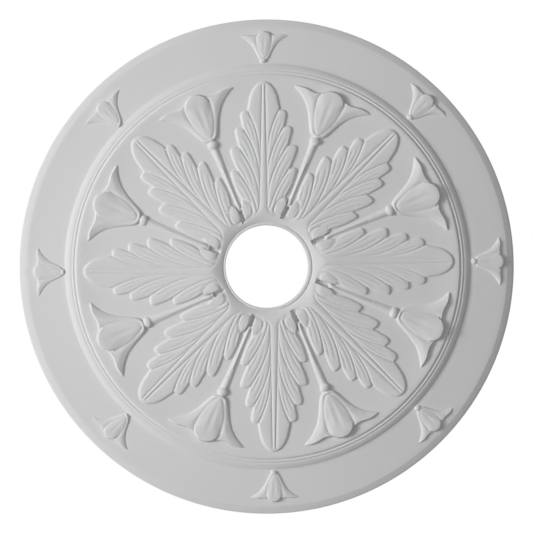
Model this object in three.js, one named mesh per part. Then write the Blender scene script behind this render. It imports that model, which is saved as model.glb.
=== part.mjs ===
// Ceiling rose: one moulded disc with a centre hole, eight lobed leaves, eight long-stemmed bell flowers
// between them, a ring moulding, and eight small bell flowers on the plain outer band.
// Units are millimetres. The rose hangs as it is fixed: its flat back lies on Z = 0 and the carving looks down.
// The pattern repeats and each repeat is its own mirror image, so one slice from a leaf's axis to the next
// flower's axis is worked out, and the whole is that slice mirrored and turned round the hole. It is also
// twisted a little, because each axis passes beside the hole's centre by the axis offset.

import * as THREE from 'three';

// Driving dimensions of the turned body
const OUTER_DIAMETER = 610;
const HOLE_DIAMETER = 102;
const EDGE_HEIGHT = 7.6;
const LIP_HEIGHT = 10;
const LIP_WIDTH = 6.8;
const QUIRK_DEPTH = 0.9;
const BAND_WIDTH = 47.6;
const BAND_RISE = 6.5;
const RING_WIDTH = 15.6;
const FIELD_EDGE_HEIGHT = 24.6;
const FIELD_RISE = 13;
const HUB_HEIGHT = 37.6;
const FUNNEL_WIDTH = 6.1;
const STEP_WIDTH = 3.4;
const STEP_HEIGHT = 35.6;

// Driving dimensions of the carving
const MOTIF_COUNT = 8;
const SLICE_STEPS = 5;
const AXIS_OFFSET = 6.6;
const LEAF_GAP = 6.1;
const BELL_GAP = 4.6;
const FILL_SPACING = 24;
const WALL_SLOPE = 0.9;
const MITRE_LIMIT = 0.5;
const LEAF_THICKNESS = 2.9;
const LEAF_BASE_THICKNESS = 3.7;
const MIDRIB_WIDTH = 6;
const STEM_WIDTH = 5.4;
const STEM_HEIGHT = 3.8;
const STEM_INSET = 14;
const BELL_HEIGHT = 59;
const BALL_RADIUS = 6;
const SMALL_BALL_RADIUS = 2.7;
const SMALL_BELL_GAP = 7.3;
const BALL_CLEARANCE = 0.5;

const PLASTER_WHITE = '#e4e4e3';

// Radii of the turned body, worked inwards from the edge and outwards from the hole
const outerRadius = OUTER_DIAMETER / 2;
const holeRadius = HOLE_DIAMETER / 2;
const bandOuter = outerRadius - LIP_WIDTH;
const bandInner = bandOuter - BAND_WIDTH;
const fieldOuter = bandInner - RING_WIDTH;
const stepOuter = holeRadius + STEP_WIDTH;
const hubRadius = stepOuter + FUNNEL_WIDTH;
const bandInnerHeight = LIP_HEIGHT + BAND_RISE;
const sliceAngle = Math.PI / MOTIF_COUNT;

// Sections of the turned mouldings as radius and height, each from its inner to its outer edge
const HUB_SECTION = [
  [holeRadius, STEP_HEIGHT],
  [stepOuter, STEP_HEIGHT],
  [stepOuter + 0.3 * FUNNEL_WIDTH, STEP_HEIGHT + 0.4 * (HUB_HEIGHT - STEP_HEIGHT)],
  [hubRadius, HUB_HEIGHT],
];
const RING_SECTION = [[0, 0], [0.12, 0.1], [0.15, 0.24], [0.24, 0.13], [0.44, 0.47], [0.55, 0.43], [0.85, 0.78], [1, 1]]
  .map(([across, down]) => [
    fieldOuter + across * RING_WIDTH,
    FIELD_EDGE_HEIGHT - down * (FIELD_EDGE_HEIGHT - bandInnerHeight),
  ]);
const LIP_SECTION = [
  [bandOuter, LIP_HEIGHT],
  [bandOuter + 0.12 * LIP_WIDTH, LIP_HEIGHT - QUIRK_DEPTH],
  [bandOuter + 0.3 * LIP_WIDTH, LIP_HEIGHT - 0.3 * QUIRK_DEPTH],
  [outerRadius, EDGE_HEIGHT],
];

// Height of the plain surface behind the carving: the field slopes evenly and eases out flat over the outer
// share of its width, and the band falls to the lip
const FIELD_EASE = 0.22;

function fieldHeight(radius) {
  const share = (fieldOuter - radius) / (fieldOuter - hubRadius);
  const eased = share < FIELD_EASE ? (share * share) / FIELD_EASE : 2 * share - FIELD_EASE;
  return FIELD_EDGE_HEIGHT + (FIELD_RISE * eased) / (2 - FIELD_EASE);
}

function bandHeight(radius) {
  return bandInnerHeight - BAND_RISE * ((radius - bandInner) / BAND_WIDTH);
}

// The twist that moves an axis beside the centre, counted from the outer edge, which stays where it is
function twistAt(radius) {
  return Math.asin(AXIS_OFFSET / Math.max(radius, hubRadius)) - Math.asin(AXIS_OFFSET / outerRadius);
}

// Places on the slice: along and across are measured from the leaf's axis, or from the flower's axis
const onLeafAxis = (along, across) => [along, across];
const onFlowerAxis = (along, across) => [
  along * Math.cos(sliceAngle) + across * Math.sin(sliceAngle),
  along * Math.sin(sliceAngle) - across * Math.cos(sliceAngle),
];

// Two places closer than this are one point, and a share of rounding error that is left out of account
const SAME_PLACE = 1e-6;
const ROUNDING = 1e-12;

// A net of points and lines drawn on the slice, before it is filled with triangles
class Net {
  constructor() {
    this.points = [];
    this.lines = [];
    this.outlines = [];
  }

  point([x, y], height) {
    const near = this.points.findIndex((p) => Math.hypot(p[0] - x, p[1] - y) < SAME_PLACE);
    if (near >= 0) return near;
    this.points.push([x, y, height]);
    return this.points.length - 1;
  }

  line(indices) {
    for (let i = 1; i < indices.length; i += 1) {
      if (indices[i] !== indices[i - 1]) this.lines.push([indices[i - 1], indices[i]]);
    }
  }

  // Is this place clear of every carved outline?
  isClear([x, y], clearance) {
    return this.outlines.every((outline) => {
      let inside = false;
      for (let i = 0, j = outline.length - 1; i < outline.length; j = i, i += 1) {
        const [x0, y0] = outline[i];
        const [x1, y1] = outline[j];
        if (y0 > y !== y1 > y && x < ((x1 - x0) * (y - y0)) / (y1 - y0) + x0) inside = !inside;
        if (Math.hypot(x0 - x, y0 - y) < clearance) return false;
      }
      return !inside;
    });
  }
}

// The foot of a carved edge: the same outline, pushed outwards by the slope of the wall, on the plain surface.
// At a corner it moves along the corner's bisector, by no more than the wall's slope over the mitre limit.
function footOutline(edge) {
  const runs = edge.slice(1).map((at, i) => new THREE.Vector2(at[0] - edge[i][0], at[1] - edge[i][1]).normalize());
  return edge.map(([along, across], i) => {
    if (across === 0) return [along + (i === 0 ? -WALL_SLOPE : WALL_SLOPE), 0];
    const before = runs[Math.max(i - 1, 0)];
    const middle = runs[Math.min(i, runs.length - 1)].clone().add(before).normalize();
    const reach = WALL_SLOPE / Math.max(before.dot(middle), MITRE_LIMIT);
    return [along - reach * middle.y, Math.max(across + reach * middle.x, 0)];
  });
}

// A carved edge and its foot. The edge runs from the end nearest the hub to the outer end.
function drawEdge(net, place, edge, heights, ground, innerRadius = 0) {
  const top = edge.map(([along, across], i) => net.point(place(along, across), heights[i]));
  const foot = footOutline(edge).filter((at) => Math.hypot(...at) > innerRadius).map(([along, across]) => {
    const [x, y] = place(along, across);
    return net.point([x, y], ground(Math.hypot(x, y)));
  });
  net.line(top);
  net.line(foot);
  return top;
}

// Leaf. Each lobe is a forward-pointing finger. Its tip and the notch in front of it are given as a share of
// the leaf's length from its root, and a share of the room between the leaf's axis and the flower's.
const LEAF_LOBES = [
  { tip: [0.05, 0.775], notch: [0.075, 0.765] },
  { tip: [0.292, 0.817], notch: [0.3, 0.632] },
  { tip: [0.472, 0.672], notch: [0.48, 0.482] },
  { tip: [0.627, 0.49], notch: [0.634, 0.351] },
  { tip: [0.757, 0.351], notch: [0.766, 0.238] },
];
const LEAF_TIP_LOBE = [[0.83, 0.219], [0.92, 0.163], [0.98, 0.083], [1, 0]];
const LEAF_BASE_RUN = 0.085;
const VEIN_RUN = 0.28;
const CROWN_FADE = 0.35;

function drawLeaf(net) {
  const tip = fieldOuter - LEAF_GAP;
  const length = (tip - hubRadius) / (1 + LEAF_BASE_RUN);
  const root = tip - length;
  const inMm = ([share, room]) => {
    const along = root + share * length;
    return [along, room * along * Math.tan(sliceAngle)];
  };
  const thickness = (share) => {
    const fade = THREE.MathUtils.smoothstep(share, 0, CROWN_FADE);
    return THREE.MathUtils.lerp(LEAF_BASE_THICKNESS, LEAF_THICKNESS, fade);
  };
  const surface = (along, lift) => {
    const share = (along - root) / length;
    const leaf = fieldHeight(along) + thickness(share) * lift;
    const merge = THREE.MathUtils.smoothstep(share, -LEAF_BASE_RUN, 0);
    return THREE.MathUtils.lerp(HUB_HEIGHT, leaf, merge);
  };
  const baseAngle = sliceAngle * (1 - 1 / SLICE_STEPS);
  const margin = [{ at: [hubRadius * Math.cos(baseAngle), hubRadius * Math.sin(baseAngle)], lift: 1 }];
  for (const lobe of LEAF_LOBES) {
    const from = margin[margin.length - 1].at;
    const point = inMm(lobe.tip);
    const back = [from[0] + 0.45 * (point[0] - from[0]), from[1] + 0.72 * (point[1] - from[1])];
    const hasVein = lobe !== LEAF_LOBES[0];
    margin.push({ at: back, lift: 0.85, hasVein }, { at: point, lift: 0.95, hasVein });
    margin.push({ at: inMm(lobe.notch), lift: 0.62, hasVein: true });
  }
  for (const place of LEAF_TIP_LOBE) margin.push({ at: inMm(place), lift: 0.8, hasVein: place[1] > 0 });

  const edge = margin.map(({ at }) => at);
  const heights = margin.map(({ at, lift }) => surface(at[0], lift));
  const top = drawEdge(net, onLeafAxis, edge, heights, fieldHeight, hubRadius + WALL_SLOPE);
  net.outlines.push([[hubRadius, 0], ...edge]);

  // Vein lines run back from the edge and close in on the midrib
  const halfRib = MIDRIB_WIDTH / 2;
  const ridge = [net.point([hubRadius, 0], HUB_HEIGHT)];
  const valley = [];
  margin.forEach(({ at, lift, hasVein }, i) => {
    if (!hasVein) return;
    const share = (at[0] - root) / length;
    const past = Math.max(share - LEAF_TIP_LOBE[0][0], 0) / (1 - LEAF_TIP_LOBE[0][0]);
    const run = (1 - past) * Math.min(VEIN_RUN, share) * length;
    const curve = new THREE.QuadraticBezierCurve(
      new THREE.Vector2(at[0] - run, Math.min(halfRib, 0.4 * at[1])),
      new THREE.Vector2(at[0] - 0.5 * run, 0.36 * at[1]),
      new THREE.Vector2(...at),
    );
    const middle = curve.getPoint(0.62);
    const nearRib = curve.getPoint(0);
    const middleIndex = net.point([middle.x, middle.y], surface(middle.x, 0.35 + 0.65 * lift));
    const valleyIndex = net.point([nearRib.x, nearRib.y], surface(nearRib.x, 0.6));
    net.line([top[i], middleIndex, valleyIndex]);
    valley.push(valleyIndex);
    ridge.push(net.point([nearRib.x, 0], surface(nearRib.x, 1)));
  });
  net.line([...ridge, top[top.length - 1]]);
  net.line(valley);
}

// Bell flower: pointed side petals behind a bulging middle petal, above a ball. The sizes are shares of the
// bell's height, which runs outwards from the ball along the flower's axis.
const SIDE_PETAL_LOWER = [[0.03, 0.2], [0.22, 0.27], [0.4, 0.345], [0.56, 0.48], [0.7, 0.66], [0.8, 0.88]];
const SIDE_PETAL_UPPER = [[0.8, 0.6], [0.84, 0.38]];
const SIDE_PETAL_THICKNESS = 0.08;
const MIDDLE_PETAL_ROWS = [0, 0.2, 0.4, 0.6, 0.74];
const MIDDLE_PETAL_TOP_ROWS = [0.87, 0.96, 1];
const MIDDLE_PETAL_WIDEST = 0.66;
const MIDDLE_PETAL_WIDTH = 0.28;
const SMALL_MIDDLE_PETAL_WIDTH = 0.23;
const MIDDLE_PETAL_THICKNESS = 0.15;

function middlePetalShape(share) {
  const opening = Math.sin(0.5 * Math.PI * Math.min(share / MIDDLE_PETAL_WIDEST, 1));
  const past = Math.max(share - MIDDLE_PETAL_WIDEST, 0) / (1 - MIDDLE_PETAL_WIDEST);
  const closing = Math.sqrt(1 - past * past);
  return { width: (0.15 + 0.85 * opening ** 1.2) * closing, bulge: (0.5 + 0.5 * opening) * (0.5 + 0.5 * closing) };
}

function drawBell(net, place, base, height, halfWidth, ground) {
  const groundAt = (along, across) => ground(Math.hypot(...place(along, across)));
  const inMm = ([along, across]) => [base + along * height, across * height];
  const sideTop = (along, across, share) => groundAt(along, across) + share * SIDE_PETAL_THICKNESS * height;

  // Rows of the middle petal and the foot of its wall. The side petal ends at the first of the top rows.
  const joinRow = MIDDLE_PETAL_ROWS.length;
  const rows = [...MIDDLE_PETAL_ROWS, ...MIDDLE_PETAL_TOP_ROWS].map((share) => {
    const along = base + share * height;
    const shape = middlePetalShape(share);
    const across = shape.width * halfWidth;
    const bulge = (at) => groundAt(along, across) + at * shape.bulge * MIDDLE_PETAL_THICKNESS * height;
    return { along, across, bulge };
  });
  const foot = footOutline(rows.map(({ along, across }) => [along, across]));

  // Edge of the side petal, from the ball out to the point and back to the middle petal
  const lower = SIDE_PETAL_LOWER.map(inMm);
  const upper = SIDE_PETAL_UPPER.map(inMm);
  const edge = [[base, 0.09 * height], ...lower, ...upper, foot[joinRow]];
  const heights = edge.map(([along, across], i) => {
    const isBevel = i <= lower.length;
    return sideTop(along, across, isBevel ? 0.3 : 0.9);
  });
  const top = drawEdge(net, place, edge, heights, ground);
  const shoulder = SIDE_PETAL_LOWER.slice(0, -1).map((share) => {
    const [along, across] = inMm(share);
    const middle = middlePetalShape(share[0]).width * halfWidth + WALL_SLOPE;
    const at = [along + 0.04 * height * share[0], middle + 0.55 * (across - middle)];
    return net.point(place(...at), sideTop(...at, 1));
  });
  net.line([...shoulder, top[lower.length]]);

  // Middle petal: its wall stands on the side petal, and past the join on the plain surface
  const wallTop = rows.map(({ along, across, bulge }) => net.point(place(along, across), bulge(0.75)));
  const inner = rows.slice(0, -1).map(({ along, across, bulge }) => (
    net.point(place(along - 0.01 * height, 0.5 * across), bulge(1))
  ));
  const axis = rows.slice(0, -1).map(({ along, bulge }) => net.point(place(along, 0), bulge(0.86)));
  net.line(wallTop);
  net.line(inner);
  net.line([...axis, wallTop[wallTop.length - 1]]);
  const footIndex = foot.map(([along, across], i) => {
    const onSide = i <= joinRow ? SIDE_PETAL_THICKNESS * height : 0;
    return net.point(place(along, across), groundAt(along, across) + onSide);
  });
  net.line(footIndex);
  net.outlines.push([place(base, 0), ...edge.map((at) => place(...at)), place(...foot[foot.length - 1])]);
}

function drawBall(net, place, centre, radius, ground) {
  const arcSteps = 4;
  const rings = [[1, 0], [0.8, 0.62], [0, 1]];
  const base = ground(centre);
  const outline = [];
  for (const [reach, lift] of rings) {
    const ring = [];
    for (let step = 0; step <= (reach > 0 ? arcSteps : 0); step += 1) {
      const angle = Math.PI * (1 - step / arcSteps);
      const across = step % arcSteps === 0 ? 0 : reach * radius * Math.sin(angle);
      const at = place(centre + reach * radius * Math.cos(angle), across);
      ring.push(net.point(at, base + lift * radius));
      if (reach === 1) outline.push(at);
    }
    net.line(ring);
  }
  net.outlines.push(outline);
}

function drawStem(net, start, end) {
  const steps = 4;
  const edge = [];
  const heights = [];
  const axis = [];
  for (let step = 0; step <= steps; step += 1) {
    const share = step / steps;
    const along = start + share * (end - start);
    edge.push([along, 0.5 * STEM_WIDTH * (0.4 + 0.6 * share)]);
    heights.push(fieldHeight(along) + 0.8 * STEM_HEIGHT);
    axis.push(net.point(onFlowerAxis(along, 0), fieldHeight(along) + STEM_HEIGHT));
  }
  drawEdge(net, onFlowerAxis, edge, heights, fieldHeight);
  net.line(axis);
  net.outlines.push([...edge, [start, 0]].map((at) => onFlowerAxis(...at)));
}

function drawArc(net, [radius, height]) {
  for (let step = 0; step <= SLICE_STEPS; step += 1) {
    const angle = sliceAngle * (step / SLICE_STEPS);
    net.point([radius * Math.cos(angle), step === 0 ? 0 : radius * Math.sin(angle)], height);
  }
}

// Bowyer and Watson's way of filling a net with triangles, one point at a time
function delaunay(points) {
  const far = 100 * OUTER_DIAMETER;
  const all = [...points.map(([x, y]) => [x, y]), [-far, -far], [far, -far], [0, far]];
  const count = points.length;
  const circled = (a, b, c) => {
    const [ax, ay] = all[a];
    const [bx, by] = [all[b][0] - ax, all[b][1] - ay];
    const [cx, cy] = [all[c][0] - ax, all[c][1] - ay];
    const d = 2 * (bx * cy - by * cx);
    const ux = (cy * (bx * bx + by * by) - by * (cx * cx + cy * cy)) / d;
    const uy = (bx * (cx * cx + cy * cy) - cx * (bx * bx + by * by)) / d;
    return { corners: [a, b, c], x: ax + ux, y: ay + uy, r2: ux * ux + uy * uy };
  };
  let triangles = [circled(count, count + 1, count + 2)];
  for (let i = 0; i < count; i += 1) {
    const [x, y] = all[i];
    const rim = new Map();
    const kept = [];
    for (const t of triangles) {
      const distance2 = (x - t.x) ** 2 + (y - t.y) ** 2;
      if (distance2 > t.r2 * (1 - ROUNDING)) {
        kept.push(t);
      } else {
        for (let k = 0; k < 3; k += 1) {
          const [a, b] = [t.corners[k], t.corners[(k + 1) % 3]];
          if (!rim.delete(`${b} ${a}`)) rim.set(`${a} ${b}`, [a, b]);
        }
      }
    }
    for (const [a, b] of rim.values()) kept.push(circled(a, b, i));
    triangles = kept;
  }
  return triangles.map((t) => t.corners).filter((corners) => corners.every((c) => c < count));
}

const turn = ([ax, ay], [bx, by], [cx, cy]) => (bx - ax) * (cy - ay) - (by - ay) * (cx - ax);

// Put one line of the net in place of the triangle edges that cross it: the triangles it runs through are
// taken out, and the hollow on each side of the line is filled again
function withLine(points, triangles, [from, to]) {
  const isLeft = (i) => turn(points[from], points[to], points[i]) > 0;
  const crosses = (a, b) => ![a, b].some((i) => i === from || i === to) && isLeft(a) !== isLeft(b)
    && turn(points[a], points[b], points[from]) > 0 !== turn(points[a], points[b], points[to]) > 0;
  const crossed = triangles.filter(([a, b, c]) => crosses(a, b) || crosses(b, c) || crosses(c, a));
  const next = new Map();
  for (const corners of crossed) {
    corners.forEach((a, k) => {
      const b = corners[(k + 1) % 3];
      if (next.get(b)?.delete(a)) return;
      if (!next.has(a)) next.set(a, new Set());
      next.get(a).add(b);
    });
  }
  const chain = (start, end) => {
    const walked = [start];
    while (walked[walked.length - 1] !== end) walked.push([...next.get(walked[walked.length - 1])][0]);
    return walked;
  };
  const filling = [chain(from, to), chain(to, from)].flatMap((hollow) => {
    const shape = hollow.map((i) => new THREE.Vector2(points[i][0], points[i][1]));
    return THREE.ShapeUtils.triangulateShape(shape, []).map((corners) => corners.map((i) => hollow[i]));
  });
  return [...triangles.filter((corners) => !crossed.includes(corners)), ...filling];
}

// Triangles over the net that keep all its lines
function filled(net) {
  const hasEdge = (triangles, [p, q]) => triangles.some((t) => t.includes(p) && t.includes(q));
  let triangles = delaunay(net.points).map(([a, b, c]) => (
    turn(net.points[a], net.points[b], net.points[c]) > 0 ? [a, b, c] : [a, c, b]
  ));
  for (const line of net.lines) {
    if (!hasEdge(triangles, line)) triangles = withLine(net.points, triangles, line);
  }
  return triangles;
}

// Facets of the whole rose: slices are copied round, and points on a slice's edges are shared
class Rose {
  constructor() {
    this.positions = [];
    this.index = [];
    this.known = new Map();
  }

  vertex([x, y, z], repeat, mirror) {
    const onLeaf = Math.abs(y) < SAME_PLACE;
    const onFlower = Math.abs(y * Math.cos(sliceAngle) - x * Math.sin(sliceAngle)) < SAME_PLACE;
    const half = onFlower ? (mirror ? -1 : 1) : 0;
    const side = onLeaf || onFlower ? 'axis' : mirror;
    const place = (2 * repeat + half + 2 * MOTIF_COUNT) % (2 * MOTIF_COUNT);
    const key = `${x.toFixed(6)} ${Math.abs(y).toFixed(6)} ${z.toFixed(6)} ${side} ${place}`;
    if (!this.known.has(key)) {
      const angle = (onFlower ? place - 1 : place) * sliceAngle + twistAt(Math.hypot(x, y));
      const flip = mirror && !onFlower ? -y : y;
      const vector = new THREE.Vector3(x, flip, z).applyAxisAngle(new THREE.Vector3(0, 0, 1), angle);
      this.known.set(key, this.positions.length / 3);
      this.positions.push(vector.x, vector.y, vector.z);
    }
    return this.known.get(key);
  }

  addTriangle(corners) {
    for (let repeat = 0; repeat < MOTIF_COUNT; repeat += 1) {
      const [a, b, c] = corners.map((corner) => this.vertex(corner, repeat, false));
      const [d, e, f] = corners.map((corner) => this.vertex(corner, repeat, true));
      this.index.push(a, b, c, d, f, e);
    }
  }

  // A turned strip between two circles, with the outside on the left going outwards
  addStrip(inner, outer) {
    const at = ([radius, height], step) => {
      const angle = sliceAngle * (step / SLICE_STEPS);
      return [radius * Math.cos(angle), step === 0 ? 0 : radius * Math.sin(angle), height];
    };
    for (let step = 0; step < SLICE_STEPS; step += 1) {
      this.addTriangle([at(inner, step), at(outer, step), at(outer, step + 1)]);
      this.addTriangle([at(inner, step), at(outer, step + 1), at(inner, step + 1)]);
    }
  }

  addNet(net, innerRadius) {
    for (const corners of filled(net)) {
      const [a, b, c] = corners.map((corner) => net.points[corner]);
      const area = (b[0] - a[0]) * (c[1] - a[1]) - (b[1] - a[1]) * (c[0] - a[0]);
      const isOutside = [a, b, c].every(([x, y]) => Math.hypot(x, y) < innerRadius + SAME_PLACE);
      if (Math.abs(area) > SAME_PLACE && !isOutside) this.addTriangle(area > 0 ? [a, b, c] : [a, c, b]);
    }
  }

  geometry() {
    const geometry = new THREE.BufferGeometry();
    geometry.setAttribute('position', new THREE.Float32BufferAttribute(this.positions, 3));
    geometry.setIndex(this.index);
    geometry.computeVertexNormals();
    return geometry;
  }
}

// The domed field between hub and ring, with a leaf and half a long-stemmed flower
function fieldNet() {
  const net = new Net();
  drawArc(net, HUB_SECTION[HUB_SECTION.length - 1]);
  drawArc(net, RING_SECTION[0]);
  const bellBase = fieldOuter - BELL_GAP - BELL_HEIGHT;
  const ballCentre = bellBase - BALL_RADIUS - WALL_SLOPE;
  drawLeaf(net);
  drawBell(net, onFlowerAxis, bellBase, BELL_HEIGHT, MIDDLE_PETAL_WIDTH * BELL_HEIGHT, fieldHeight);
  drawBall(net, onFlowerAxis, ballCentre, BALL_RADIUS, fieldHeight);
  drawStem(net, hubRadius + STEM_INSET, ballCentre - BALL_RADIUS - WALL_SLOPE);
  const fillSteps = Math.floor((fieldOuter - hubRadius) / FILL_SPACING);
  for (let ring = 1; ring < fillSteps; ring += 1) {
    for (let step = 1; step < SLICE_STEPS; step += 1) {
      const radius = hubRadius + ring * FILL_SPACING;
      const angle = sliceAngle * (step / SLICE_STEPS);
      const at = [radius * Math.cos(angle), radius * Math.sin(angle)];
      if (net.isClear(at, 0.3 * FILL_SPACING)) net.point(at, fieldHeight(radius));
    }
  }
  return net;
}

// The plain band with half a small bell flower
function bandNet() {
  const net = new Net();
  drawArc(net, RING_SECTION[RING_SECTION.length - 1]);
  drawArc(net, LIP_SECTION[0]);
  const ballCentre = bandInner + BALL_CLEARANCE + SMALL_BALL_RADIUS;
  const base = ballCentre + SMALL_BALL_RADIUS + BALL_CLEARANCE;
  const height = bandOuter - SMALL_BELL_GAP - base;
  drawBell(net, onLeafAxis, base, height, SMALL_MIDDLE_PETAL_WIDTH * height, bandHeight);
  drawBall(net, onLeafAxis, ballCentre, SMALL_BALL_RADIUS, bandHeight);
  return net;
}

function roseGeometry() {
  const rose = new Rose();
  const backInner = [holeRadius, 0];
  const backOuter = [outerRadius, 0];
  rose.addStrip(backOuter, backInner);
  rose.addStrip(backInner, HUB_SECTION[0]);
  rose.addStrip(LIP_SECTION[LIP_SECTION.length - 1], backOuter);
  for (const section of [HUB_SECTION, RING_SECTION, LIP_SECTION]) {
    for (let i = 1; i < section.length; i += 1) rose.addStrip(section[i - 1], section[i]);
  }
  rose.addNet(fieldNet(), hubRadius);
  rose.addNet(bandNet(), bandInner);
  return rose.geometry();
}

const rose = new THREE.Mesh(
  roseGeometry(),
  new THREE.MeshStandardMaterial({ color: PLASTER_WHITE, roughness: 0.75, metalness: 0 }),
);
rose.name = 'ceiling_rose';

const group = new THREE.Group();
group.add(rose);
group.rotation.x = Math.PI;

export default group;
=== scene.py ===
# %% [markdown]
# # A ceiling rose from one height map
# The CAD gives one solid, `ceiling_rose`. Here it is carved again in fine mesh, then primed and lit.

# %% The frame
import math

import bmesh
import bpy
import numpy as np
from mathutils import Matrix, Vector
from mathutils.geometry import delaunay_2d_cdt


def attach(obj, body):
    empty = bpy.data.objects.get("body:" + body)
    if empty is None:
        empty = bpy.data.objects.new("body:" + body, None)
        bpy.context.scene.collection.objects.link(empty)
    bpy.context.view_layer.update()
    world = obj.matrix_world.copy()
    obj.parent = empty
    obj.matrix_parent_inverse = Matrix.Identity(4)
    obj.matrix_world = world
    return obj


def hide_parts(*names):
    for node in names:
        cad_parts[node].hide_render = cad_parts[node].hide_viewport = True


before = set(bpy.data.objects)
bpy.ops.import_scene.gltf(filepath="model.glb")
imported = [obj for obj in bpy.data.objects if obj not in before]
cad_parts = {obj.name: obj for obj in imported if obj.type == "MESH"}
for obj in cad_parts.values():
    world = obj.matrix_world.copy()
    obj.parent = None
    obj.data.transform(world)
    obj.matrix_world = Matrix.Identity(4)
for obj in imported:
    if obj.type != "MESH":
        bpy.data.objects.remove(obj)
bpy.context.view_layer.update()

# %% [markdown]
# ## Sizes of the turned body
# All lengths are millimetres. A section is a list of radius and height, face up, that goes all the way round.

# %% Turned body
OUTER, HOLE = 305.0, 51.0
HUB, FIELD_OUT = 60.5, 235.0
BAND_IN, BAND_OUT = 250.6, 298.2
FIELD_EDGE, FIELD_RISE, FIELD_EASE = 24.6, 13.0, 0.22
MOTIFS = 8
SLICE = math.pi / MOTIFS

HUB_SECTION = [
    (51.0, 34.9), (51.3, 35.4), (51.9, 35.6), (53.5, 35.6), (54.0, 35.3), (54.4, 34.7), (54.8, 34.8),
    (55.3, 35.4), (56.2, 35.9), (57.6, 36.5), (59.0, 37.0), (60.5, 37.5),
]
RING_SECTION = [
    (235.0, 24.6), (235.8, 24.35), (236.6, 23.9), (237.2, 23.35), (237.8, 22.7), (238.2, 22.35),
    (238.7, 22.5), (239.4, 22.75), (240.1, 22.65), (240.9, 22.25), (241.5, 21.7), (241.9, 21.25),
    (242.3, 21.2), (242.9, 21.3), (243.8, 21.0), (245.0, 20.45), (246.4, 19.7), (247.8, 18.75),
    (248.9, 17.85), (249.7, 17.15), (250.2, 16.75), (250.6, 16.55),
]
LIP_SECTION = [
    (298.2, 10.05), (298.6, 9.7), (299.0, 9.6), (299.6, 9.35), (301.2, 8.6), (302.8, 7.85), (304.1, 7.2),
    (304.7, 6.8), (305.0, 6.3),
]


def field_height(r):
    # even slope from the hub, easing out flat before the ring moulding
    share = np.clip((FIELD_OUT - r) / (FIELD_OUT - HUB), 0, 1)
    eased = np.where(share < FIELD_EASE, share ** 2 / FIELD_EASE, 2 * share - FIELD_EASE)
    return FIELD_EDGE + FIELD_RISE * eased / (2 - FIELD_EASE)


field_rows = [(r, float(field_height(r))) for r in np.linspace(HUB + 2, FIELD_OUT - 2, 40)]
SECTION = np.array(HUB_SECTION + field_rows + RING_SECTION + LIP_SECTION)


def ground(r):
    return np.interp(r, SECTION[:, 0], SECTION[:, 1])


print("section", len(SECTION), "rows")

# %% [markdown]
# ## Distances to an outline
# A carved form is an outline and a rule that turns the distance inside the outline into height.

# %% Outlines
def smooth(x):
    x = np.clip(x, 0, 1)
    return x * x * (3 - 2 * x)


def rounded(x):
    # rises steeply at the foot and rounds over at the shoulder
    x = np.clip(x, 0, 1)
    return np.sqrt(1 - (1 - x) ** 2) * 0.45 + smooth(x) * 0.55


def curve(points, step, corner=0.0):
    # a polyline through the points with evenly spaced places, its corners relaxed a little
    p = np.array(points, float)
    length = np.concatenate([[0], np.cumsum(np.hypot(*np.diff(p, axis=0).T))])
    count = max(2, int(round(length[-1] / step)) + 1)
    at = np.linspace(0, length[-1], count)
    q = np.column_stack([np.interp(at, length, p[:, 0]), np.interp(at, length, p[:, 1])])
    for _ in range(int(corner)):
        q[1:-1] = 0.5 * q[1:-1] + 0.25 * (q[:-2] + q[2:])
    return q


def distance(p, line):
    # distance from each point to a polyline
    a, b = line[:-1], line[1:]
    ab = b - a
    d = p[:, None, :] - a[None]
    t = np.clip((d * ab).sum(2) / np.maximum((ab * ab).sum(1), 1e-9), 0, 1)
    return np.sqrt(((d - t[..., None] * ab) ** 2).sum(2)).min(1)


def along_line(p, line):
    # share of the way along the polyline of the nearest place on it
    a, b = line[:-1], line[1:]
    ab = b - a
    lengths = np.sqrt((ab * ab).sum(1))
    start = np.concatenate([[0], np.cumsum(lengths)[:-1]])
    d = p[:, None, :] - a[None]
    t = np.clip((d * ab).sum(2) / np.maximum((ab * ab).sum(1), 1e-9), 0, 1)
    dist = ((d - t[..., None] * ab) ** 2).sum(2)
    k = dist.argmin(1)
    i = np.arange(len(p))
    return (start[k] + t[i, k] * lengths[k]) / lengths.sum()


def inside(p, outline):
    hit = np.zeros(len(p), bool)
    a = outline
    b = np.roll(outline, -1, axis=0)
    for (x0, y0), (x1, y1) in zip(a, b):
        if y0 == y1:
            continue
        cross = (y0 > p[:, 1]) != (y1 > p[:, 1])
        hit ^= cross & (p[:, 0] < (x1 - x0) * (p[:, 1] - y0) / (y1 - y0) + x0)
    return hit


# %% [markdown]
# ## The leaf
# Places are measured out from the hole's centre and across from the midrib, on one half of the leaf.

# %% Leaf outline
LEAF_EDGE = [
    (58.5, 21.6), (61.5, 22.8), (65.5, 24.6), (70.0, 26.6), (74.5, 28.0), (79.0, 28.6), (82.6, 28.3),
    (84.4, 28.4), (88.3, 30.9), (95.8, 34.7), (104.7, 38.4), (114.0, 41.2), (118.0, 41.4), (120.0, 39.6),
    (120.6, 36.6), (119.4, 32.2),
    (123.5, 34.7), (131.1, 38.4), (141.0, 41.7), (145.8, 41.9), (148.0, 40.2), (149.0, 36.6), (147.8, 30.4),
    (151.2, 31.8), (157.5, 33.9), (165.0, 35.8), (169.6, 35.5), (171.8, 33.8), (172.7, 30.6), (171.8, 25.8),
    (174.5, 26.5), (179.0, 28.0), (185.2, 29.2), (189.6, 28.6), (191.8, 26.9), (192.9, 23.4), (192.3, 19.6),
    (195.5, 20.2), (201.6, 19.3), (210.5, 17.6), (219.3, 13.8), (225.6, 8.6), (228.1, 4.2), (228.8, 0.0),
]
NOTCHES = [(84.0, 28.0), (119.0, 31.8), (147.2, 29.9), (171.2, 25.4), (192.0, 19.2)]
LOBE_TIPS = [(118.5, 40.0), (146.8, 40.5), (170.8, 34.2), (190.8, 27.4)]
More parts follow.
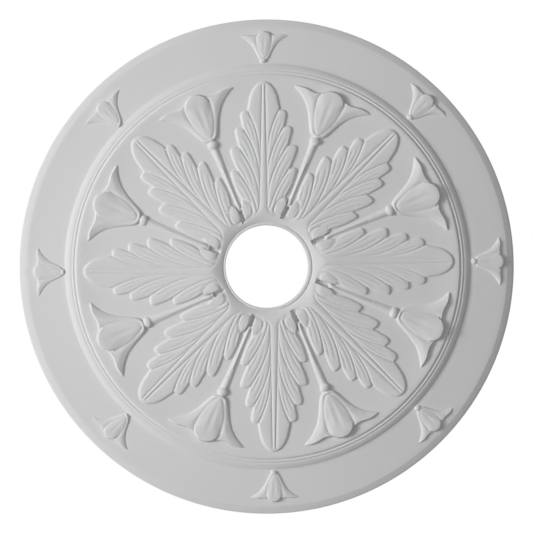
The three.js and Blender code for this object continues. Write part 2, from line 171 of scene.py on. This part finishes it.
LEAF_RISE, LEAF_BASE_RISE = 2.7, 3.3
BUD_LINE = [
    (84.2, 26.8), (81.8, 21.0), (77.8, 16.4), (72.2, 13.4), (66.6, 12.8), (62.8, 14.8), (61.0, 18.0),
    (60.4, 21.0),
]


def groove(notch, reach, end):
    # runs back from the edge and closes in on the midrib, where it ends level with it
    s0, w0 = notch
    s = np.linspace(s0, s0 - reach, 26)
    return np.column_stack([s, end + (w0 - end) * ((s - s0 + reach) / reach) ** 2])


leaf_edge = curve(LEAF_EDGE, 1.5)
leaf_outline = np.vstack([[(56.0, 0.0), (56.0, 14.0)], leaf_edge])
notch_lines = [groove(n, 30 + 1.33 * n[1], 4.8) for n in NOTCHES[1:]]
vein_lines = []
for (s0, w0), (s1, w1) in zip(NOTCHES[1:], LOBE_TIPS):
    for back, share in ((6.0, 0.30), (12.0, 0.72)):
        start = (s1 - back, w0 + share * (w1 - w0) - 1.6)
        vein_lines.append(groove(start, 18 + 1.25 * start[1], 6.2 + 4.5 * share + 0.1 * start[1])[:20])
vein_lines = [v[np.hypot(*v.T) > 68] for v in map(np.array, vein_lines)]
vein_lines = [v for v in vein_lines if len(v) > 5]
bud_line = curve(BUD_LINE, 1.3, 2)


def rib_half(s):
    # half width of the midrib, which narrows to the tip and spreads into the hub
    return np.clip(2.2 + (207 - s) * 0.022, 1.6, 5.0) + 14 * np.clip((75 - s) / 16, 0, 1.05) ** 2.2


def hub_surface(r):
    return np.interp(r, [60.5, 63, 66, 70, 76, 82], [37.5, 38.3, 38.9, 39.4, 39.6, 39.6])


def leaf_height(p):
    s, w = p[:, 0], p[:, 1]
    r = np.hypot(s, w)
    d = distance(p, leaf_edge)
    hit = inside(p, leaf_outline)
    crown = 1 - smooth((s - 80) / 50)
    rise = LEAF_RISE + (LEAF_BASE_RISE - LEAF_RISE) * crown
    near_notch = np.min([np.hypot(s - a, w - b) for a, b in NOTCHES], axis=0)
    wall = rounded(d / (3.0 - 1.3 * smooth((90 - s) / 12) - 1.3 * smooth((9 - near_notch) / 7) * (s > 90)))
    cut = np.zeros(len(p))
    for line in notch_lines:
        share = along_line(p, line)
        v = np.clip(1 - distance(p, line) / (1.7 - 0.4 * share), 0, 1)
        cut = np.maximum(cut, (0.75 + 0.6 * (1 - share) ** 3) * v ** 1.1)
    for line in vein_lines:
        share = along_line(p, line)
        v = np.clip(1 - distance(p, line) / 1.3, 0, 1)
        cut = np.maximum(cut, 0.55 * smooth(share / 0.2) * smooth((1 - share) / 0.3) * v ** 1.1)
    v = np.clip(1 - distance(p, bud_line) / 2.2, 0, 1)
    cut = np.maximum(cut, 1.5 * v ** 1.2)
    half = rib_half(s)
    rib_fade = smooth((227.5 - s) / 7) * smooth((s - 59) / 6)
    deep = 0.95 * rib_fade
    outer = deep * np.clip(1 - (w - half) / 2.0, 0, 1) ** 1.4
    inner = deep * (1 - (1.35 * (1 - np.clip(w / half, 0, 1) ** 1.7)))
    narrow = smooth((82 - s) / 14)
    inner = inner * (1 - narrow) + narrow * deep * np.clip(1 - (half - w) / 2.4, 0, 1) ** 1.4
    cut = np.where(w < half, inner, np.maximum(cut, outer))
    bulge = 0.35 * smooth(d / 8)
    lift = (rise - 0.35 + bulge) * wall - cut * wall
    leaf = field_height(r) + lift
    near_hub = smooth((78 - r) / 15)
    leaf = leaf * (1 - near_hub) + (hub_surface(r) - cut * wall) * near_hub
    walled = ground(r) + (leaf - ground(r)) * wall
    leaf = np.where(s < 90, np.minimum(leaf, walled), leaf)
    return np.where(hit & (r > HUB - 0.1), leaf, -1e3)


print("leaf edge", len(leaf_edge), "places,", len(notch_lines) + len(vein_lines), "grooves")

# %% [markdown]
# ## The bell flowers
# One bell serves twice: the large one stands on a stem between the leaves, the small one lies on the band.

# %% Bells, balls and stem
BELL = 59.0
BELL_BASE, SMALL_BASE = 171.4, 255.9
SMALL = 35.0 / BELL
SIDE_LOWER = [
    (-0.4, 8.6), (2.8, 11.4), (10.9, 15.6), (21.4, 20.9), (31.9, 28.0), (39.3, 36.4), (44.2, 44.4),
    (47.7, 52.0),
]
SIDE_UPPER = [
    (47.7, 52.0), (49.6, 47.0), (50.9, 41.0), (51.2, 34.8), (50.0, 27.6), (49.9, 22.5), (50.8, 18.5),
    (52.0, 15.0),
]
MIDDLE = [
    (0.4, 0.0), (2.6, 4.0), (5.3, 6.7), (15.2, 10.9), (20.6, 12.9), (28.8, 15.2), (37.4, 16.6), (43.0, 16.7),
    (47.5, 16.0), (51.6, 14.0), (55.4, 10.6), (57.9, 6.4), (58.8, 3.0), (59.0, 0.0),
]
PIT = 5.0
BALL = (164.4, 6.0, 6.9, 5.6)
COLLAR = (171.2, 2.2, 8.3, 4.7)
SMALL_BALL = (253.9, 3.2, 4.3, 3.4)
SMALL_COLLAR = (258.3, 1.2, 4.7, 2.7)
STEM_START, STEM_END = 77.0, 161.0

side_lower = curve(SIDE_LOWER, 1.5, 2)
side_upper = curve(SIDE_UPPER, 1.5, 2)
middle_edge = curve(MIDDLE, 1.5, 3)
middle_tip = middle_edge[middle_edge[:, 0] > 47.5]
side_outline = np.vstack([[(0.0, 0.0)], side_lower, side_upper[1:], [(50.0, 0.0)]])
middle_outline = np.vstack([middle_edge, [(30.0, -5.0)]])


def bell_lift(a, w):
    # height of a full-size bell above the plain surface, or zero outside it
    p = np.column_stack([a, w])
    low, up, mid = distance(p, side_lower), distance(p, side_upper), distance(p, middle_edge)
    in_side = inside(p, side_outline) | (w < 1e-6) & (a > 0) & (a < 50)
    in_mid = inside(p, middle_outline) | (w < 1e-6) & (a > 0.5) & (a < 58.9)
    reach = np.interp(a, [0, 10, 30, 52], [2.6, 6.0, 9.5, 9.5])
    bevel = np.clip(low / reach, 0, 1)
    bevel = 0.25 * np.clip(low / 1.5, 0, 1) + 0.75 * (1 - (1 - bevel) ** 1.35)
    side = 4.3 * bevel * rounded(up / 1.5)
    side = side - 1.1 * np.clip(1 - mid / 3.2, 0, 1) ** 1.3 * smooth(low / 4)
    side = np.where(in_side, side, 0)
    half = np.interp(a, middle_edge[:, 0], middle_edge[:, 1])
    u = np.clip(w / np.maximum(half, 1), 0, 1)
    full = 4.2 + 2.6 * smooth((a - 22) / 34)
    ridge = np.clip(1 - np.abs(u - 0.3) / 0.4, 0, 1) ** 1.2
    full = full + (0.5 + 0.5 * smooth(a / 25)) * ridge * smooth((50 - a) / 16)
    edge = 3.1 + 2.9 * smooth((a - 40) / 12)
    dome = 1 - (1 - np.clip(mid / (3.0 + 4.0 * smooth(a / 30)), 0, 1)) ** 1.8
    middle = (edge + (full - edge) * dome) * rounded(distance(p, middle_tip) / 1.8)
    return np.where(in_mid, np.maximum(middle, side * (a < 50)), side)


def on_flower(p):
    c, s = math.cos(SLICE), math.sin(SLICE)
    return p[:, 0] * c + p[:, 1] * s, np.abs(p[:, 0] * s - p[:, 1] * c)


def place_flower(q):
    c, s = math.cos(SLICE), math.sin(SLICE)
    return np.column_stack([q[:, 0] * c + q[:, 1] * s, q[:, 0] * s - q[:, 1] * c])


def knob_lift(a, w, knob):
    # an oval knob given as its place along the axis, half length, half width and height
    centre, half_length, half_width, tall = knob
    rho = np.hypot((a - centre) / half_length, w / half_width)
    return np.where(rho < 1, tall * np.clip(1 - rho ** 2.6, 0, 1) ** 0.6, -1e3)


def stem_half(a):
    return 2.6 + 3.0 * np.clip((a - STEM_START) / (STEM_END - STEM_START), 0, 1) ** 1.3


def height(p):
    r = np.hypot(p[:, 0], p[:, 1])
    a, w = on_flower(p)
    z = ground(r) - PIT * smooth((88 - a) / 10) * smooth((r - HUB - 0.4) / 2.5)
    z = np.maximum(z, leaf_height(p))
    field = field_height(r)
    lift = bell_lift(a - BELL_BASE, w)
    z = np.maximum(z, np.where((lift > 1e-3) & (r < FIELD_OUT + 0.1), field + lift, 0))
    z = np.maximum(z, field + np.maximum(knob_lift(a, w, BALL), knob_lift(a, w, COLLAR)))
    stem_top = (1.7 + 0.3 * stem_half(a)) * np.clip(1 - (w / stem_half(a)) ** 1.4, 0, 1)
    lift = stem_top * smooth((a - STEM_START) / 5) * (a < STEM_END + 3)
    z = np.maximum(z, np.where(lift > 1e-3, field + lift, 0))
    s, w = p[:, 0], np.abs(p[:, 1])
    on_band = (r > BAND_IN) & (r < 297)
    small = SMALL * bell_lift((s - SMALL_BASE) / SMALL, w / SMALL)
    z = np.maximum(z, np.where(on_band, ground(r) + small, 0))
    knob = np.maximum(knob_lift(s, w, SMALL_BALL), knob_lift(s, w, SMALL_COLLAR))
    z = np.maximum(z, np.where(on_band | (r > BAND_IN - 2), ground(r) + knob, 0))
    return z


# %% [markdown]
# ## A net that follows the carving
# Lines run along every edge and groove, rows of points lie beside them, and plain places get few points.

# %% Net
class Places:
    def __init__(self):
        self.at, self.cells = [], {}

    def near(self, x, y, gap):
        reach = int(gap) + 1
        cx, cy = math.floor(x), math.floor(y)
        for i in range(cx - reach, cx + reach + 1):
            for j in range(cy - reach, cy + reach + 1):
                for k in self.cells.get((i, j), ()):
                    if math.hypot(self.at[k][0] - x, self.at[k][1] - y) < gap:
                        return k
        return None

    def add(self, x, y, gap=1e-4):
        k = self.near(x, y, gap)
        if k is not None:
            return None if gap > 1e-3 else k
        self.at.append((x, y))
        self.cells.setdefault((math.floor(x), math.floor(y)), []).append(len(self.at) - 1)
        return len(self.at) - 1


net, lines = Places(), []


def in_slice(x, y, margin):
    angle = math.atan2(y, x)
    r = math.hypot(x, y)
    from_leaf, from_flower = r * math.sin(max(angle, 0)), r * math.sin(SLICE - angle)
    return from_leaf >= margin and from_flower >= margin - 1e-9


def draw(points):
    last = None
    for x, y in points:
        k = net.add(float(x), float(y))
        if last is not None and k is not None and k != last:
            lines.append((last, k))
        last = k


def circle(r, steps=16):
    return [(r * math.cos(SLICE * i / steps), r * math.sin(SLICE * i / steps)) for i in range(steps + 1)]


for r, _ in HUB_SECTION + RING_SECTION + LIP_SECTION:
    draw(circle(r))
for angle in (0.0, SLICE):
    steps = [np.arange(HUB + 1.2, FIELD_OUT - 0.6, 1.6)]
    steps.append(np.arange(BAND_IN + 1.3, BAND_OUT - 0.6, 1.4 if angle == 0 else 4.4))
    for r in np.concatenate(steps):
        net.add(r * math.cos(angle), r * math.sin(angle), 0.5)
draw(leaf_edge)
draw(place_flower(np.array([(BELL_BASE, 0.0)]) + side_lower))
draw(place_flower(np.array([(BELL_BASE, 0.0)]) + side_upper))
draw(place_flower(np.array([(BELL_BASE, 0.0)]) + middle_edge))
draw(np.array([(SMALL_BASE, 0.0)]) + SMALL * side_lower)
draw(np.array([(SMALL_BASE, 0.0)]) + SMALL * side_upper)
draw(np.array([(SMALL_BASE, 0.0)]) + SMALL * middle_edge)
arc = [(math.cos(t), math.sin(t)) for t in np.linspace(0, math.pi, 17)]
oval = lambda knob, part: np.array([(knob[0] + knob[1] * c, knob[2] * s) for c, s in part])
for knob in (BALL, COLLAR):
    draw(place_flower(oval(knob, arc)))
for knob in (SMALL_BALL, SMALL_COLLAR):
    draw(oval(knob, arc[::2]))
stem_s = np.linspace(STEM_START, STEM_END - 1, 46)
draw(place_flower(np.column_stack([stem_s, stem_half(stem_s)])))
for line in notch_lines + vein_lines:
    draw([q for q in line[1:] if math.hypot(*q) > HUB + 2])
rib_s = np.arange(64.0, 227.5, 1.5)
rib_line = np.column_stack([rib_s, rib_half(rib_s)])
draw(rib_line[4:])


def rows_beside(line, offsets, gap):
    step = np.gradient(line, axis=0)
    normal = np.column_stack([-step[:, 1], step[:, 0]])
    normal /= np.maximum(np.hypot(*normal.T), 1e-9)[:, None]
    for d in offsets:
        q = line + d * normal
        keep = distance(q, line) > 0.9 * abs(d)
        for x, y in q[keep]:
            if in_slice(x, y, 0.5) and math.hypot(x, y) > HUB + 1:
                net.add(float(x), float(y), gap)


both = lambda *ds: [side * d for d in ds for side in (1, -1)]
rows_beside(leaf_edge, both(0.75, 1.5, 2.4, 3.3), 0.62)
for line in (side_lower, side_upper, middle_edge):
    at = place_flower(np.array([(BELL_BASE, 0.0)]) + line)
    rows_beside(at, both(0.8, 1.7, 2.8), 0.65)
    rows_beside(np.array([(SMALL_BASE, 0.0)]) + SMALL * line, both(0.7, 1.5), 0.6)
rows_beside(place_flower(oval(BALL, arc)), both(0.6, 1.4, 2.8), 0.6)
rows_beside(place_flower(np.column_stack([stem_s, stem_half(stem_s)])), both(0.8), 0.6)
rows_beside(rib_line, both(0.8, 1.7), 0.7)
for line in notch_lines + vein_lines:
    rows_beside(line, both(0.8, 1.7), 0.7)

FILL_STEP, FINE_GAP, PLAIN_GAP = 1.8, 1.65, 3.6
fill = []
for i, y in enumerate(np.arange(0.9, 118, FILL_STEP * 0.87)):
    for x in np.arange(50 + (i % 2) * FILL_STEP / 2, 236, FILL_STEP):
        if HUB < math.hypot(x, y) < FIELD_OUT - 0.8 and in_slice(x, y, 0.8):
            fill.append((float(x), float(y)))
fill = np.array(fill)
is_carved = inside(fill, leaf_outline) | (distance(fill, leaf_edge) < 3.5)
on_axis = np.column_stack(on_flower(fill)) - np.array([(BELL_BASE, 0.0)])
is_carved |= inside(on_axis, side_outline) | inside(on_axis, middle_outline) | (on_axis[:, 1] < 6)
for (x, y), fine in sorted(zip(fill.tolist(), is_carved.tolist()), key=lambda f: not f[1]):
    net.add(x, y, FINE_GAP if fine else PLAIN_GAP)
for i, y in enumerate(np.arange(0.6, 26, 1.1)):
    for x in np.arange(BAND_IN + 0.7 + (i % 2) * 0.65, 294, 1.3):
        if math.hypot(x, y) > BAND_IN + 0.6:
            net.add(float(x), float(y), 0.95)
for r in np.arange(BAND_IN + 4, BAND_OUT - 3, 4.5):
    for t in np.linspace(0, SLICE, 17)[1:-1]:
        net.add(r * math.cos(t), r * math.sin(t), 2.4)
print("net", len(net.at), "points", len(lines), "line pieces")

for angle in (0.0, SLICE):
    ux, uy = math.cos(angle), math.sin(angle)
    on = [(x * ux + y * uy, k) for k, (x, y) in enumerate(net.at) if abs(x * uy - y * ux) < 1e-6]
    on.sort()
    lines += [(a[1], b[1]) for a, b in zip(on, on[1:])]

flat = delaunay_2d_cdt([Vector(p) for p in net.at], lines, [], 0, 1e-5)
xy = np.array([tuple(v) for v in flat[0]])


def is_kept(face):
    # leaves out faces that lie along one edge of the slice, and those across the hole
    p = xy[list(face)]
    off_leaf = np.abs(p[:, 1])
    off_flower = np.abs(p[:, 0] * math.sin(SLICE) - p[:, 1] * math.cos(SLICE))
    return max(off_leaf) > 1e-3 and max(off_flower) > 1e-3 and max(np.hypot(*p.T)) > HOLE + 1e-3


faces = [f for f in flat[2] if is_kept(f)]
z = height(xy)
print("slice", len(xy), "points", len(faces), "faces, top", round(float(z.max()), 2))

# %% [markdown]
# ## The whole rose
# The slice is mirrored and turned eight times, then closed by the outer edge, the bore and the flat back.

# %% Mesh
# every axis passes this far beside the centre
AXIS_OFFSET = 6.6
# radius and shift in x: the carving sits slightly to one side of the turned body
CASTING_SHIFT = (
    [51, 54, 60, 80, 226, 235, 251, 256, 290, 298],
    [-0.3, 0.9, 1.2, 2.4, 2.4, 1.1, 1.1, 2.8, 2.8, 0],
)
# metres: places closer than this become one
WELD = 1e-5
SHARP_CREASE = math.radians(50)


def twist(r):
    return math.asin(AXIS_OFFSET / max(r, HUB)) - math.asin(AXIS_OFFSET / OUTER)


bm = bmesh.new()
for repeat in range(MOTIFS):
    for flip in (1, -1):
        turn = 2 * math.pi * repeat / MOTIFS
        c, s = math.cos(turn), math.sin(turn)
        x, y = xy[:, 0], flip * xy[:, 1]
        px, py = x * c - y * s, x * s + y * c
        new = [bm.verts.new((px[i] / 1000, -py[i] / 1000, -z[i] / 1000)) for i in range(len(xy))]
        for f in faces:
            order = f if flip < 0 else f[::-1]
            bm.faces.new([new[i] for i in order])
bmesh.ops.remove_doubles(bm, verts=bm.verts, dist=WELD)
rim_angles = [SLICE * i / 16 for i in range(16 * 2 * MOTIFS)]
# down the outer edge, across the flat back and up the bore
rows = [LIP_SECTION[-1], (OUTER, 0.4), (304.6, 0.0), (51.4, 0.0), (HOLE, 0.4), HUB_SECTION[0]]
rings = []
for r, h in rows:
    around = [(r * math.cos(t) / 1000, -r * math.sin(t) / 1000, -h / 1000) for t in rim_angles]
    rings.append([bm.verts.new(place) for place in around])
for a, b in zip(rings, rings[1:]):
    for i in range(len(a)):
        j = (i + 1) % len(a)
        bm.faces.new((a[i], a[j], b[j], b[i]))
bmesh.ops.remove_doubles(bm, verts=bm.verts, dist=WELD)
for vertex in bm.verts:
    x, y = vertex.co.x, vertex.co.y
    r = 1000 * math.hypot(x, y)
    t = twist(r)
    vertex.co.x = x * math.cos(t) + y * math.sin(t) + float(np.interp(r, *CASTING_SHIFT)) / 1000
    vertex.co.y = y * math.cos(t) - x * math.sin(t)
bmesh.ops.recalc_face_normals(bm, faces=bm.faces)
open_edges = sum(1 for e in bm.edges if len(e.link_faces) != 2)
mesh = bpy.data.meshes.new("moulded_rose")
bm.to_mesh(mesh)
bm.free()
mesh.shade_smooth()
mesh.set_sharp_from_angle(angle=SHARP_CREASE)
rose = bpy.data.objects.new("moulded_rose", mesh)
bpy.context.scene.collection.objects.link(rose)
triangles = sum(len(p.vertices) - 2 for p in mesh.polygons)
print("rose", triangles, "triangles,", open_edges, "open edges")

# %% [markdown]
# ## Matt primer
# Moulded rigid foam in white primer is a dead matt white: the grain is fine and the shadows stay soft.

# %% Material
def linear(hex_colour):
    parts = [int(hex_colour[i:i + 2], 16) / 255 for i in (1, 3, 5)]
    return [c / 12.92 if c <= 0.04045 else ((c + 0.055) / 1.055) ** 2.4 for c in parts] + [1.0]


primer = bpy.data.materials.new("matt primer on moulded foam")
primer.use_nodes = True
nodes, links = primer.node_tree.nodes, primer.node_tree.links
shader = nodes["Principled BSDF"]


def add_node(kind, **values):
    node = nodes.new(kind)
    for key, value in values.items():
        node.inputs[key.replace("_", " ")].default_value = value
    return node


shader.inputs["Base Color"].default_value = linear("#e9e9ea")
shader.inputs["Roughness"].default_value = 0.85
shader.inputs["Specular IOR Level"].default_value = 0.2
place = add_node("ShaderNodeTexCoord")
grain = add_node("ShaderNodeTexNoise", Scale=1 / 0.0011, Detail=3.0, Roughness=0.6)
bump = add_node("ShaderNodeBump", Strength=0.12, Distance=0.0002)
links.new(place.outputs["Object"], grain.inputs["Vector"])
links.new(grain.outputs["Fac"], bump.inputs["Height"])
links.new(bump.outputs["Normal"], shader.inputs["Normal"])
rose.data.materials.append(primer)
print("material", primer.name)

# %% [markdown]
# ## Light
# A soft key from the left rakes over the carving, and the white surroundings fill the shadows.

# %% Light
FILL_STRENGTH = 0.215
scene = bpy.context.scene
world = bpy.data.worlds.new("white room")
world.use_nodes = True
scene.world = world
wn, wl = world.node_tree.nodes, world.node_tree.links
for node in list(wn):
    wn.remove(node)
out = wn.new("ShaderNodeOutputWorld")
seen, fill, mix, path = (wn.new("ShaderNodeBackground"), wn.new("ShaderNodeBackground"),
                         wn.new("ShaderNodeMixShader"), wn.new("ShaderNodeLightPath"))
seen.inputs["Strength"].default_value = 1.0
seen.inputs["Color"].default_value = (1, 1, 1, 1)
fill.inputs["Color"].default_value = (1, 1, 1.01, 1)
fill.inputs["Strength"].default_value = FILL_STRENGTH
wl.new(path.outputs["Is Camera Ray"], mix.inputs[0])
wl.new(fill.outputs[0], mix.inputs[1])
wl.new(seen.outputs[0], mix.inputs[2])
wl.new(mix.outputs[0], out.inputs[0])


def area_light(name, direction, away, size, power):
    data = bpy.data.lights.new(name, "AREA")
    data.shape, data.size, data.energy = "DISK", size, power
    lamp = bpy.data.objects.new(name, data)
    scene.collection.objects.link(lamp)
    d = Vector(direction).normalized()
    lamp.location = d * away
    lamp.rotation_mode = "QUATERNION"
    lamp.rotation_quaternion = d.to_track_quat("Z", "Y")
    return lamp


KEY_TILT, KEY_LIFT = math.radians(57.0), math.radians(6.0)
across = math.sin(KEY_TILT)
key_from = (-across * math.cos(KEY_LIFT), -across * math.sin(KEY_LIFT), -math.cos(KEY_TILT))
area_light("key", key_from, 14.0, 4.6, 1280)
area_light("top fill", (0.6, -0.5, 1.0), 12.0, 6.0, 240)
scene.view_settings.view_transform = "Standard"

floor_mesh = bpy.data.meshes.new("floor")
FLOOR_HALF, FLOOR_Z = 30, -10
corners = [(-1, -1), (1, -1), (1, 1), (-1, 1)]
floor_mesh.from_pydata([(FLOOR_HALF * i, FLOOR_HALF * j, FLOOR_Z) for i, j in corners], [], [(0, 1, 2, 3)])
floor = bpy.data.objects.new("floor", floor_mesh)
scene.collection.objects.link(floor)
pale = bpy.data.materials.new("pale floor")
pale.use_nodes = True
pale.node_tree.nodes["Principled BSDF"].inputs["Base Color"].default_value = linear("#efefef")
pale.node_tree.nodes["Principled BSDF"].inputs["Roughness"].default_value = 0.9
floor_mesh.materials.append(pale)

# %% [markdown]
# ## Camera
# It looks nearly straight up at the carved face. The small roll sets the leaves at the photo's angle.

# %% Camera
AWAY, SIDE, ROLL = 7.0, math.radians(0.8), math.asin(AXIS_OFFSET / OUTER)
SENSOR, VIEW_WIDTH = 36, 0.658
camera_data = bpy.data.cameras.new("camera")
camera = bpy.data.objects.new("camera", camera_data)
scene.collection.objects.link(camera)
look = Vector((math.sin(SIDE), 0, math.cos(SIDE)))
up = Vector((0, -1, 0))
right = look.cross(up)
turned = Matrix.Rotation(ROLL, 3, look)
right, up = turned @ right, turned @ up
rotation = Matrix((right, up, -look)).transposed()
target = Vector((-0.0004, -0.0001, -0.006))
camera.matrix_world = Matrix.Translation(target - look * AWAY) @ rotation.to_4x4()
camera_data.sensor_width = SENSOR
camera_data.lens = SENSOR * AWAY / VIEW_WIDTH
scene.camera = camera
print("camera", [round(v, 3) for v in camera.location])

# %% Hand over to the frame
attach(rose, "root")
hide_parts("ceiling_rose")
